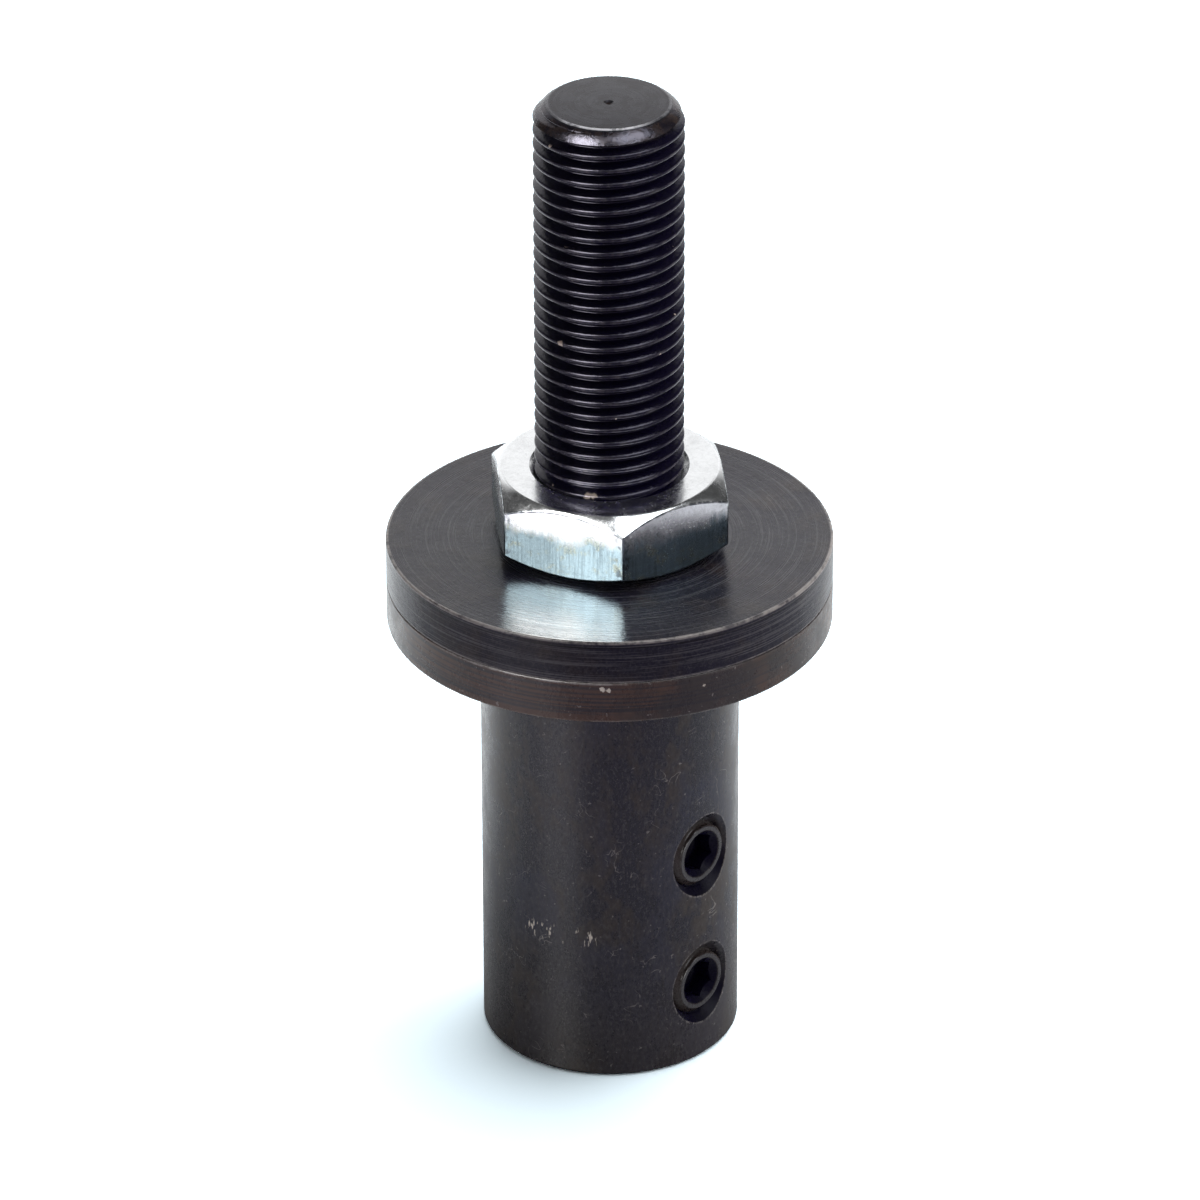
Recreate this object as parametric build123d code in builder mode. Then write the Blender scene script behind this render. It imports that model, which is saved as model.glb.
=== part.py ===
from build123d import *
from math import cos, radians, sqrt, tan
import os

# Grinding wheel arbor: a sleeve slips over a motor shaft and two set screws hold it there.
# The grinding wheel goes on the stud, between the fixed flange and the loose outer flange.
# Millimetres, +Z up along the axis, the origin at the centre of the sleeve's foot, set screws on the +X side.

# Sleeve and its bore
shaft_diameter = 12.7
shaft_clearance = 0.025
sleeve_diameter = 22.2
sleeve_height = 39.7
foot_edge_break = 0.3
bore_depth = 35.0
bore_mouth_chamfer = 0.6
drill_point_angle = 118.0

# Fixed flange and outer flange
flange_diameter = 38.1
flange_thickness = 3.8
flange_edge_break = 0.25
clamping_edge_break = 0.1
outer_flange_thickness = 3.9
outer_flange_edge_break = 0.15
outer_flange_clearance = 0.15
outer_flange_bore_chamfer = 0.4
face_relief_diameter = 27.0
face_relief_depth = 0.4

# Stud
stud_diameter = 12.7
stud_length = 44.5
stud_end_chamfer = 1.2
thread_relief_width = 2.0
thread_relief_depth = 0.9
centre_dimple_diameter = 0.9
centre_dimple_depth = 0.35

# Hexagon nut
nut_across_flats = 19.05
nut_thickness = 6.75
nut_thread_clearance = 0.05
nut_bore_chamfer = 0.4
nut_top_flat_diameter = 18.55
nut_top_chamfer_angle = 38.0
nut_bearing_flat_diameter = 17.2
nut_bearing_chamfer_angle = 30.0
nut_turn = 19.2

# Set screws
set_screw_diameter = 6.35
set_screw_length = 4.0
set_screw_clearance = 0.04
set_screw_recess = 0.33
set_screw_heights = {"lower_set_screw": 7.35, "upper_set_screw": 20.1}
set_screw_hole_mouth_diameter = 7.8
set_screw_hole_mouth_angle = 90.0
set_screw_head_chamfer = 0.65
set_screw_point_chamfer = 1.0
set_screw_cup_diameter = 3.2
set_screw_cup_depth = 0.6
socket_across_flats = 3.175
socket_depth = 2.0
socket_mouth_diameter = 4.4
socket_turn = 36.0

# Worked out from the sizes above
bore_radius = shaft_diameter / 2 + shaft_clearance
sleeve_radius = sleeve_diameter / 2
flange_radius = flange_diameter / 2
face_relief_radius = face_relief_diameter / 2
stud_radius = stud_diameter / 2
thread_relief_radius = stud_radius - thread_relief_depth
clamping_face = sleeve_height + flange_thickness
outer_flange_top = clamping_face + outer_flange_thickness
stud_top = clamping_face + stud_length
set_screw_radius = set_screw_diameter / 2
set_screw_face = sleeve_radius - set_screw_recess
set_screw_tip = set_screw_face - set_screw_length


def cone_height(radius, point_angle):
    """Height of a cone with this base radius and this full angle at its point."""
    return radius / tan(radians(point_angle / 2))


# Arbor body: the turned half-section, then the bore, then the tapped holes for the set screws
with BuildPart() as arbor_body:
    with BuildSketch(Plane.XZ):
        with BuildLine():
            Polyline(
                (0, 0),
                (sleeve_radius - foot_edge_break, 0),
                (sleeve_radius, foot_edge_break),
                (sleeve_radius, sleeve_height),
                (flange_radius - flange_edge_break, sleeve_height),
                (flange_radius, sleeve_height + flange_edge_break),
                (flange_radius, clamping_face - clamping_edge_break),
                (flange_radius - clamping_edge_break, clamping_face),
                (face_relief_radius, clamping_face),
                (face_relief_radius, clamping_face - face_relief_depth),
                (thread_relief_radius, clamping_face - face_relief_depth),
                (thread_relief_radius, clamping_face + thread_relief_width - thread_relief_depth),
                (stud_radius, clamping_face + thread_relief_width),
                (stud_radius, stud_top - stud_end_chamfer),
                (stud_radius - stud_end_chamfer, stud_top),
                (centre_dimple_diameter / 2, stud_top),
                (0, stud_top - centre_dimple_depth),
                close=True,
            )
        make_face()
    revolve(axis=Axis.Z)

    with BuildSketch(Plane.XZ):
        with BuildLine():
            Polyline(
                (0, 0),
                (bore_radius + bore_mouth_chamfer, 0),
                (bore_radius, bore_mouth_chamfer),
                (bore_radius, bore_depth),
                (0, bore_depth + cone_height(bore_radius, drill_point_angle)),
                close=True,
            )
        make_face()
    revolve(axis=Axis.Z, mode=Mode.SUBTRACT)

    with Locations(
        [Plane(origin=(sleeve_radius, 0, height), z_dir=(1, 0, 0)) for height in set_screw_heights.values()]
    ):
        CounterSinkHole(
            radius=set_screw_radius + set_screw_clearance,
            counter_sink_radius=set_screw_hole_mouth_diameter / 2,
            depth=sleeve_radius,
            counter_sink_angle=set_screw_hole_mouth_angle,
        )

# Outer flange: a thick turned washer, relieved underneath like the flange it lies on
outer_flange_bore = stud_radius + outer_flange_clearance
with BuildPart() as outer_flange:
    with BuildSketch(Plane.XZ):
        with BuildLine():
            Polyline(
                (outer_flange_bore, clamping_face + face_relief_depth),
                (face_relief_radius, clamping_face + face_relief_depth),
                (face_relief_radius, clamping_face),
                (flange_radius - outer_flange_edge_break, clamping_face),
                (flange_radius, clamping_face + outer_flange_edge_break),
                (flange_radius, outer_flange_top - outer_flange_edge_break),
                (flange_radius - outer_flange_edge_break, outer_flange_top),
                (outer_flange_bore + outer_flange_bore_chamfer, outer_flange_top),
                (outer_flange_bore, outer_flange_top - outer_flange_bore_chamfer),
                close=True,
            )
        make_face()
    revolve(axis=Axis.Z)

# Hexagon nut: a hexagonal bar, turned to its chamfers and bored for the stud
nut_bore = stud_radius + nut_thread_clearance
nut_corner_radius = nut_across_flats / 2 / cos(radians(30))
nut_bearing_flat_radius = nut_bearing_flat_diameter / 2
nut_top_flat_radius = nut_top_flat_diameter / 2
nut_top = outer_flange_top + nut_thickness
nut_bearing_drop = (nut_corner_radius - nut_bearing_flat_radius) * tan(radians(nut_bearing_chamfer_angle))
nut_top_drop = (nut_corner_radius - nut_top_flat_radius) * tan(radians(nut_top_chamfer_angle))
with BuildPart() as hex_nut:
    with BuildSketch(Plane.XY.offset(outer_flange_top)):
        RegularPolygon(nut_across_flats / 2, 6, major_radius=False, rotation=nut_turn)
    extrude(amount=nut_thickness)

    with BuildSketch(Plane.XZ):
        with BuildLine():
            Polyline(
                (nut_bore, outer_flange_top + nut_bore_chamfer),
                (nut_bore + nut_bore_chamfer, outer_flange_top),
                (nut_bearing_flat_radius, outer_flange_top),
                (nut_corner_radius, outer_flange_top + nut_bearing_drop),
                (nut_corner_radius, nut_top - nut_top_drop),
                (nut_top_flat_radius, nut_top),
                (nut_bore + nut_bore_chamfer, nut_top),
                (nut_bore, nut_top - nut_bore_chamfer),
                close=True,
            )
        make_face()
    revolve(axis=Axis.Z, mode=Mode.INTERSECT)

# Set screws: headless, with a cup point and a hexagon socket
head_face_radius = set_screw_radius - set_screw_head_chamfer
point_radius = set_screw_radius - set_screw_point_chamfer
socket_corner_radius = socket_across_flats / 2 / cos(radians(30))
socket_mouth_depth = socket_mouth_diameter / 2 - socket_across_flats / 2
set_screws = {}
for name, height in set_screw_heights.items():
    with BuildPart() as set_screw:
        with BuildSketch(Plane.XZ.shift_origin((0, 0, height))):
            with BuildLine():
                Polyline(
                    (set_screw_tip + set_screw_cup_depth, 0),
                    (set_screw_tip, set_screw_cup_diameter / 2),
                    (set_screw_tip, point_radius),
                    (set_screw_tip + set_screw_point_chamfer, set_screw_radius),
                    (set_screw_face - set_screw_head_chamfer, set_screw_radius),
                    (set_screw_face, head_face_radius),
                    (set_screw_face, 0),
                    close=True,
                )
            make_face()
        revolve(axis=Axis((0, 0, height), (1, 0, 0)))

        with BuildSketch(Plane(origin=(set_screw_face, 0, height), x_dir=(0, 1, 0), z_dir=(1, 0, 0))):
            RegularPolygon(socket_across_flats / 2, 6, major_radius=False, rotation=socket_turn)
        extrude(amount=-socket_depth, mode=Mode.SUBTRACT)

        with BuildSketch(Plane.XZ.shift_origin((0, 0, height))):
            with BuildLine():
                Polyline(
                    (set_screw_face, 0),
                    (set_screw_face, socket_mouth_diameter / 2),
                    (set_screw_face - socket_mouth_depth, socket_across_flats / 2),
                    (set_screw_face - socket_mouth_depth, 0),
                    close=True,
                )
            make_face()
        revolve(axis=Axis((0, 0, height), (1, 0, 0)), mode=Mode.SUBTRACT)
    set_screws[name] = set_screw

arbor_body.part.label = "arbor_body"
outer_flange.part.label = "outer_flange"
hex_nut.part.label = "hex_nut"

os.makedirs("parts", exist_ok=True)
export_step(arbor_body.part, "parts/arbor_body.step")
export_step(outer_flange.part, "parts/outer_flange.step")
export_step(hex_nut.part, "parts/hex_nut.step")
for name, set_screw in set_screws.items():
    set_screw.part.label = name
    export_step(set_screw.part, f"parts/{name}.step")
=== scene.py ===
from math import ceil, cos, hypot, pi, radians, sin, tan

import bmesh
import bpy
import numpy
from bpy.props import FloatProperty, FloatVectorProperty, PointerProperty
from mathutils import Matrix, Quaternion, Vector


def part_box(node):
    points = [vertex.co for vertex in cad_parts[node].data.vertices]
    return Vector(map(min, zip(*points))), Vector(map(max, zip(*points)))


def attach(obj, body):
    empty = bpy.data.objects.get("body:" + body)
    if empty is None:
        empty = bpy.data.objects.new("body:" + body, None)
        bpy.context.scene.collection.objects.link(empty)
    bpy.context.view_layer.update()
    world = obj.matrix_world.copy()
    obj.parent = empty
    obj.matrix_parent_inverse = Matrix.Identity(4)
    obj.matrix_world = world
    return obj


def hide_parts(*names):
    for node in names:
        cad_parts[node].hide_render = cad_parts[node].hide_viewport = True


bl_info = {
    "name": "Grinding wheel arbor",
    "version": (1, 0, 0),
    "blender": (4, 5, 0),
    "location": "3D View > Sidebar > Arbor",
    "description": "Turned and threaded pieces, steel finishes and a plain stage for a grinding wheel arbor",
    "category": "Add Mesh",
}

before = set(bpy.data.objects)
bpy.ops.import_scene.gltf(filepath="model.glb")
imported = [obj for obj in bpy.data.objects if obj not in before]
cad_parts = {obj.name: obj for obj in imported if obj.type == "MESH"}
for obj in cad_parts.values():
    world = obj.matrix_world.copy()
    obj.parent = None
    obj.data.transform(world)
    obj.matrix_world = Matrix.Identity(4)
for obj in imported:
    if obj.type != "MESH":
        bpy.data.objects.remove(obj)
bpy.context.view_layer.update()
BODY_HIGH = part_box("arbor_body")[1]
FLANGE_LOW, FLANGE_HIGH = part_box("outer_flange")
NUT_LOW, NUT_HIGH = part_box("hex_nut")
SCREW_BOXES = {"lower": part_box("lower_set_screw"), "upper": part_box("upper_set_screw")}

MM = 0.001
ALONG_X = Matrix(((0, 0, 1, 0), (1, 0, 0, 0), (0, 1, 0, 0), (0, 0, 0, 1)))

# Fineness of the turned shapes
BODY_STEPS = 192
FLANGE_STEPS = 256
TOOL_STEPS = 96
DRILL_STEPS = 48
THREAD_STEPS = 96
SHARP_ANGLE = radians(18)
SMOOTH_ANGLE = radians(32)

# Form of the threads
FLANK_SLOPE = tan(radians(30))
CREST_SHARE = 0.19
SPARE_TURNS = 2

# Measures of the tools and of small edges
PAST = 1 * MM
TAP_START = 3 * MM
DRILL_HALF_ANGLE = radians(59)
BORE_MOUTH_CHAMFER = 0.6 * MM
FOOT_CHAMFER = 0.3 * MM
TIGHT = 0.05 * MM
FINE = 0.08 * MM
PLAIN = 0.1 * MM
SLEEVE_CORNER = 0.12 * MM
CLAMPING_EDGE = 0.14 * MM
UNDERSIDE_EDGE = 0.3 * MM
STUD_IN_BODY = 0.5 * MM
OVER_THE_CREST = 0.01 * MM
BEND_SHARE = 0.42
BEND_ROUNDING = 0.35 * MM
BEYOND_NUT = 12 * MM
OVERLAP = 0.1 * MM

# Directions from the axis in which wear, rusty patches and painted highlights lie, and the nut's front
# corner, away from which painted shade darkens its flats
RUST_AND_HIGHLIGHT_SIDE = (0.26, -0.966, 0)
SCUFFED_SIDE = (0.334, -0.943, 0)
WORN_AND_HIGHLIT_FLANGE_SIDE = (0.378, -0.926, 0)
WORN_AND_HIGHLIT_END_SIDE = (0.6, -0.8, 0)
NUT_FRONT_CORNER = (0.757, -0.653, 0)

# Bare marks, each x, y, z and radius in mm
FLANGE_MARKS = ((12.6, -14.29, 42.95, 0.27), (12.95, -13.97, 42.85, 0.22), (17.63, -7.22, 42.4, 0.17))
THREAD_MARKS = ((0.33, -6.3, 68.0, 0.34), (2.8, -5.65, 54.3, 0.42), (3.2, -5.42, 54.35, 0.36))

# Soft boxes: degrees from the camera's side and above the floor, size in metres, tint
LEFT_BOX = (-44, 38, (0.32, 0.48), (1.0, 0.99, 0.97))
RIGHT_BOX = (49, 60, (0.42, 0.3), (0.94, 0.97, 1.0))

# Fixed measures of the stage in metres, and the sensor in mm
SENSOR_WIDTH = 36
FLOOR_HALF_WIDTH = 6
SOFT_BOX_DISTANCE = 0.6
NEAREST_SEEN = 0.01
FARTHEST_SEEN = 20


# Sizes and colours that a user would change

def amount(name, description, default, **kind):
    return FloatProperty(name=name, description=description, default=default, **kind)


def length(name, description, default):
    return amount(name, description, default, unit="LENGTH", precision=5, min=0)


def angle(name, description, degrees):
    return amount(name, description, radians(degrees), unit="ROTATION")


def colour(name, description, default):
    return FloatVectorProperty(
        name=name, description=description, default=default, subtype="COLOR", size=3, min=0, max=1
    )


class BodySizes(bpy.types.PropertyGroup):
    sleeve_radius: length("Sleeve radius", "Outside radius of the sleeve", 11.1 * MM)
    sleeve_height: length("Sleeve height", "From the foot to the fixed flange", 39.7 * MM)
    clamping_face: length("Clamping face", "Height of the fixed flange's top", FLANGE_LOW.z)
    bore_radius: length("Bore radius", "Radius of the bore for the motor shaft", 6.375 * MM)
    bore_depth: length("Bore depth", "Depth of the bore up to the drill's cone", 35 * MM)
    relief_radius: length("Relief radius", "Radius of the shallow recess in the clamping face", 13.5 * MM)
    relief_depth: length("Relief depth", "Depth of that recess", 0.4 * MM)
    hole_mouth_radius: length("Hole mouth radius", "Countersunk mouth of a set screw's hole", 3.9 * MM)
    hole_radius: length("Hole radius", "Root radius of the thread in a set screw's hole", 3.215 * MM)
    hole_crest_radius: length(
        "Hole crest radius", "Crest radius of the thread in a set screw's hole", 2.66 * MM
    )


class StudSizes(bpy.types.PropertyGroup):
    crest_radius: length("Crest radius", "Outside radius of the stud's thread", 6.35 * MM)
    root_radius: length("Root radius", "Radius at the root of the stud's thread", 5.571 * MM)
    pitch: length("Pitch", "Rise of the thread in one turn", 1.27 * MM)
    end_chamfer: length("End chamfer", "Chamfer at the stud's end", 1.2 * MM)
    groove_radius: length("Groove radius", "Radius of the groove where the thread runs out", 5.45 * MM)
    groove_width: length("Groove width", "Width of that groove", 2 * MM)
    dimple_radius: length("Dimple radius", "Radius of the mark at the centre of the end", 0.45 * MM)
    dimple_depth: length("Dimple depth", "Depth of that mark", 0.35 * MM)
    turn: angle("Turn", "Where the thread starts", -105)
    edge_radius: length("Edge radius", "Rounding of the end's worn edge", 0.12 * MM)


class OuterFlangeSizes(bpy.types.PropertyGroup):
    radius: length("Radius", "Outside radius of both flanges", FLANGE_HIGH.x)
    bore_radius: length("Bore radius", "Radius of the outer flange's bore", 6.5 * MM)
    bore_chamfer: length("Bore chamfer", "Chamfer at the bore's upper edge", 0.4 * MM)
    edge_radius: length("Edge radius", "Rounding of the outer edges", 0.16 * MM)


class NutSizes(bpy.types.PropertyGroup):
    across_flats: length("Across flats", "Width of the nut over two flats", 19.05 * MM)
    turn: angle("Turn", "Angle of the first corner", 19.2)
    top_flat_radius: length("Top flat radius", "Radius where the upper chamfer starts", 9.275 * MM)
    top_chamfer: angle("Top chamfer", "Slope of the upper chamfer", 38)
    bearing_radius: length("Bearing radius", "Radius of the face that bears on the flange", 8.6 * MM)
    bearing_chamfer: angle("Bearing chamfer", "Slope of the lower chamfer", 30)
    bore_chamfer: length("Bore chamfer", "Chamfer at both ends of the threaded bore", 0.4 * MM)
    clearance: length("Clearance", "Gap between the nut's thread and the stud's", 0.05 * MM)
    edge_radius: length("Edge radius", "Rounding of the hexagon's edges", 0.13 * MM)


class SetScrewSizes(bpy.types.PropertyGroup):
    radius: length("Radius", "Outside radius of the thread", 3.13 * MM)
    root_radius: length("Root radius", "Radius at the root of the thread", 2.56 * MM)
    pitch: length("Pitch", "Rise of the thread in one turn", 1.27 * MM)
    head_chamfer: length("Head chamfer", "Chamfer round the socket's end", 0.65 * MM)
    point_chamfer: length("Point chamfer", "Chamfer round the cup point", 1 * MM)
    cup_radius: length("Cup radius", "Radius of the cup in the point", 1.6 * MM)
    cup_depth: length("Cup depth", "Depth of the cup in the point", 0.6 * MM)
    socket_across_flats: length("Socket", "Width of the hexagon socket over two flats", 3.175 * MM)
    socket_depth: length("Socket depth", "Depth of the socket", 2 * MM)
    socket_mouth_radius: length("Socket mouth", "Radius of the socket's countersunk mouth", 2.2 * MM)
    socket_turn: angle("Socket turn", "Angle of a socket corner", 36)


class FinishColours(bpy.types.PropertyGroup):
    black_oxide: colour("Black oxide", "Blackened steel, a cold purple black", (0.0155, 0.0135, 0.028))
    brown_oxide: colour("Brown oxide", "Where the blackening turned brown", (0.046, 0.033, 0.03))
    blue_oxide: colour("Blue oxide", "Where the blackening has a blue sheen", (0.019, 0.021, 0.05))
    bare_steel: colour("Bare steel", "Steel that shows in scratches and nicks", (0.45, 0.41, 0.39))
    # The oiled thread's colour also serves as painted shade in the set screws' holes and sockets
    oiled_thread_and_shade: colour("Oiled thread", "The stud's thread under its oil", (0.0045, 0.003, 0.017))
    zinc: colour("Zinc", "Plating on the nut's drawn flats", (0.48, 0.645, 0.725))
    # The turned faces' plating is painted near white, partly as a painted highlight
    highlit_turned_zinc: colour("Bright zinc", "Plating on the nut's turned faces", (0.97, 0.985, 1.0))
    aged_zinc: colour("Aged zinc", "Yellow tinge in the plating", (0.52, 0.57, 0.47))
    floor: colour("Floor", "The pale table top", (0.86, 0.9, 0.92))
    shade: colour("Shade", "Tint of the shadow on the table", (0.8, 0.93, 1.0))


class StageSettings(bpy.types.PropertyGroup):
    camera_distance: length("Camera distance", "From the point that the camera looks at", 728.4 * MM)
    camera_side: angle("Camera side", "Where the camera stands round the arbor", -46.8)
    camera_rise: angle("Camera rise", "Camera's angle above the floor", 28.888)
    camera_roll: angle("Camera roll", "How far the camera leans to one side", -0.116)
    camera_shift: amount("Camera shift", "Shift of the frame as a share of its width", -0.00807)
    camera_aim: length("Camera aim", "Height on the arbor's axis that the camera looks at", 40.96 * MM)
    focal_length: amount("Focal length", "Lens in millimetres on a 36 mm sensor", 255.8)
    left_light: amount("Left light", "Brightness of the soft box at the camera's left", 18)
    right_light: amount("Right light", "Brightness of the soft box at the camera's right", 6)
    wall_turn: angle("Wall turn", "How far the bright wall stands left of the view", 5)
    front_sky: amount("Front sky", "Brightness of the sky before the arbor on plain colours", 0.1)
    rear_sky: amount("Rear sky", "Brightness of the sky behind the arbor on plain colours", 2.3)
    sky_turn: angle("Sky turn", "Where the brightest sky is, from the camera", 139)
    sky_rise: angle("Sky rise", "How high above the floor the brightest sky is", 18)
    table_exposure: amount("Table exposure", "How much brighter the camera sees the table", 2.3)


class ArborSettings(bpy.types.PropertyGroup):
    body: PointerProperty(type=BodySizes, name="Body")
    stud: PointerProperty(type=StudSizes, name="Stud")
    flange: PointerProperty(type=OuterFlangeSizes, name="Outer flange")
    nut: PointerProperty(type=NutSizes, name="Nut")
    set_screw: PointerProperty(type=SetScrewSizes, name="Set screws")
    finish: PointerProperty(type=FinishColours, name="Finishes")
    stage: PointerProperty(type=StageSettings, name="Stage")


# Shaping

def everything(bm):
    return bm.verts[:] + bm.edges[:] + bm.faces[:]


def turned(outline, steps=BODY_STEPS):
    """Turns an outline round Z. Each point is (radius, height) or (radius, height, rounding)."""
    bm = bmesh.new()
    corners = [bm.verts.new((point[0], 0, point[1])) for point in outline]
    for start, end in zip(corners, corners[1:] + corners[:1]):
        if start.co.x > 0 or end.co.x > 0:
            bm.edges.new((start, end))
    for point, corner in zip(outline, corners):
        if len(point) == 3:
            bmesh.ops.bevel(
                bm, geom=[corner], offset=point[2], segments=4, profile=0.5, affect="VERTICES", material=-1
            )
    bmesh.ops.spin(
        bm, geom=bm.verts[:] + bm.edges[:], axis=(0, 0, 1), angle=2 * pi, steps=steps, use_merge=True
    )
    bmesh.ops.remove_doubles(bm, verts=bm.verts, dist=1e-7)
    bmesh.ops.recalc_face_normals(bm, faces=bm.faces)
    return bm


def threaded(crest, root, pitch, bottom, top, turn=0.0, limit=None):
    """A rod along Z with a right-hand thread. limit gives the most that its radius may be at a height."""
    crest_half = pitch * CREST_SHARE / 2
    root_half = pitch / 2 - crest_half - (crest - root) * FLANK_SLOPE
    outline = [
        (root, 0), (root, root_half), (crest, pitch / 2 - crest_half), (crest, pitch / 2 + crest_half),
        (root, pitch - root_half), (root, pitch),
    ]
    bm = bmesh.new()
    corners = [bm.verts.new((radius, 0, height)) for radius, height in outline]
    for pair in zip(corners, corners[1:]):
        bm.edges.new(pair)
    for corner, rounding in zip(corners[1:5], (root_half, crest_half, crest_half, root_half)):
        bmesh.ops.bevel(
            bm, geom=[corner], offset=rounding * 0.7, segments=2, profile=0.5, affect="VERTICES", material=-1
        )
    flanks = sorted(bm.edges, key=lambda edge: edge.calc_length())[-2:]
    bmesh.ops.subdivide_edges(bm, edges=flanks, cuts=4)
    bmesh.ops.spin(
        bm, geom=bm.verts[:] + bm.edges[:], axis=(0, 0, 1), dvec=(0, 0, pitch / THREAD_STEPS),
        angle=2 * pi, steps=THREAD_STEPS,
    )
    first_turn = everything(bm)
    turns = ceil((top - bottom) / pitch) + 2 * SPARE_TURNS
    for number in range(1, turns):
        copy = bmesh.ops.duplicate(bm, geom=first_turn)["geom"]
        moved = [part for part in copy if isinstance(part, bmesh.types.BMVert)]
        bmesh.ops.translate(bm, verts=moved, vec=(0, 0, number * pitch))
    bmesh.ops.remove_doubles(bm, verts=bm.verts, dist=pitch / 1000)
    bmesh.ops.rotate(bm, verts=bm.verts, matrix=Matrix.Rotation(turn, 3, "Z"))
    bmesh.ops.translate(bm, verts=bm.verts, vec=(0, 0, (bottom // pitch - SPARE_TURNS) * pitch))
    if limit:
        for vert in bm.verts:
            radius = hypot(vert.co.x, vert.co.y)
            allowed = limit(vert.co.z)
            if radius > allowed:
                vert.co.x *= allowed / radius
                vert.co.y *= allowed / radius
    for height, side in ((top, 1), (bottom, -1)):
        bmesh.ops.bisect_plane(
            bm, geom=everything(bm), dist=1e-8, plane_co=(0, 0, height), plane_no=(0, 0, side),
            clear_outer=True,
        )
    bmesh.ops.edgeloop_fill(bm, edges=[edge for edge in bm.edges if edge.is_boundary])
    bmesh.ops.recalc_face_normals(bm, faces=bm.faces)
    return bm


def hexagonal(across_flats, bottom, top, turn):
    """A hexagonal bar along Z with a corner at the angle turn."""
    bm = bmesh.new()
    corner_radius = across_flats / 2 / cos(radians(30))
    bmesh.ops.create_cone(
        bm, cap_ends=True, segments=6, radius1=corner_radius, radius2=corner_radius, depth=top - bottom
    )
    bmesh.ops.rotate(bm, verts=bm.verts, matrix=Matrix.Rotation(turn - radians(30), 3, "Z"))
    bmesh.ops.translate(bm, verts=bm.verts, vec=(0, 0, (bottom + top) / 2))
    return bm


def countersink(radius, face, side=1, past=PAST):
    """A cutter for a 90 degree mouth of this radius. It points down, or up where side is -1."""
    high = face + side * past
    return turned([(radius + past, high), (0, high), (0, face - side * radius)], TOOL_STEPS)


def towards(side, rise):
    """The direction at an angle round the axis and an angle above the floor."""
    return Vector((cos(side) * cos(rise), sin(side) * cos(rise), sin(rise)))


def as_object(bm, name, place=None):
    """A new object from a bmesh, with its place in its mesh."""
    if place:
        bmesh.ops.transform(bm, matrix=place, verts=bm.verts)
    mesh = bpy.data.meshes.new(name)
    bm.to_mesh(mesh)
    bm.free()
    piece = bpy.data.objects.new(name, mesh)
    bpy.context.scene.collection.objects.link(piece)
    return piece


def settle(piece):
    """Applies the piece's modifiers to its mesh."""
    shape = piece.evaluated_get(bpy.context.evaluated_depsgraph_get())
    mesh = bpy.data.meshes.new_from_object(shape)
    piece.modifiers.clear()
    old, piece.data = piece.data, mesh
    bpy.data.meshes.remove(old)
    mesh.name = piece.name


def machine(piece, operation, tools):
    """Cuts a piece with each tool in turn, or keeps what lies inside it, and puts the tools away."""
    for tool in tools:
        cut = piece.modifiers.new("Cut", "BOOLEAN")
        cut.operation = operation
        cut.solver = "EXACT"
        cut.object = tool
        settle(piece)
        mesh = tool.data
        bpy.data.objects.remove(tool)
        bpy.data.meshes.remove(mesh)


def break_edges(piece, offset, where):
    """Rounds the sharp edges whose middle passes the test, and marks the rounding for the finish as worn."""
    bm = bmesh.new()
    bm.from_mesh(piece.data)
    worn = bm.faces.layers.float.new("worn")
    bmesh.ops.remove_doubles(bm, verts=bm.verts, dist=2e-7)
    sharp = [edge for edge in bm.edges if edge.is_manifold and edge.calc_face_angle() > SHARP_ANGLE]
    edges = [edge for edge in sharp if where((edge.verts[0].co + edge.verts[1].co) / 2)]
    rounding = bmesh.ops.bevel(
        bm, geom=edges, offset=offset, segments=2, profile=0.5, affect="EDGES", clamp_overlap=True,
        material=-1,
    )
    for face in rounding["faces"]:
        face[worn] = 1
    bm.to_mesh(piece.data)
    bm.free()


def finish_piece(piece, material, body, node):
    """Smooths a piece's shading, gives it its finish and lets it ride on its body in place of its node."""
    piece.data.shade_smooth()
    piece.data.set_sharp_from_angle(angle=SMOOTH_ANGLE)
    weighted = piece.modifiers.new("Even shading", "WEIGHTED_NORMAL")
    weighted.keep_sharp = True
    weighted.weight = 60
    settle(piece)
    piece.data.materials.clear()
    piece.data.materials.append(material)
    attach(piece, body)
    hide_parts(node)


# Finishes

class Nodes:
    """Short calls for the nodes of a material or a world."""

    def __init__(self, owner):
        owner.use_nodes = True
        self.nodes = owner.node_tree.nodes
        self.links = owner.node_tree.links
        self.nodes.clear()

    def add(self, kind, settings=None, **sockets):
        """A new shader node with its settings and its sockets' values or links."""
        node = self.nodes.new("ShaderNode" + kind)
        for key, value in (settings or {}).items():
            setattr(node, key, value)
        for key, value in sockets.items():
            self.feed(node.inputs[key.replace("_", " ")], value)
        return node

    def feed(self, socket, value):
        if isinstance(value, bpy.types.NodeSocket):
            self.links.new(value, socket)
        elif value is not None:
            socket.default_value = value

    def vector(self, operation, first, second=None, output="Vector"):
        node = self.add("VectorMath", {"operation": operation})
        self.feed(node.inputs[0], first)
        self.feed(node.inputs[1], second)
        return node.outputs[output]

    def math(self, operation, *values):
        node = self.add("Math", {"operation": operation})
        for socket, value in zip(node.inputs, values):
            self.feed(socket, value)
        return node.outputs[0]

    def ramp(self, value, low, high, start=0.0, end=1.0):
        """Maps low..high to start..end with soft ends."""
        return self.add(
            "MapRange", {"interpolation_type": "SMOOTHSTEP"},
            Value=value, From_Min=low, From_Max=high, To_Min=start, To_Max=end,
        ).outputs[0]

    def blend(self, share, first, second):
        node = self.add("Mix", {"data_type": "FLOAT"})
        for socket, value in zip((node.inputs[0], node.inputs[2], node.inputs[3]), (share, first, second)):
            self.feed(socket, value)
        return node.outputs[0]

    def mix(self, share, first, second):
        node = self.add("Mix", {"data_type": "RGBA"})
        self.feed(node.inputs["Factor"], share)
        for socket, value in ((node.inputs[6], first), (node.inputs[7], second)):
            self.feed(socket, value if isinstance(value, bpy.types.NodeSocket) else (*value, 1))
        return node.outputs[2]


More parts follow.
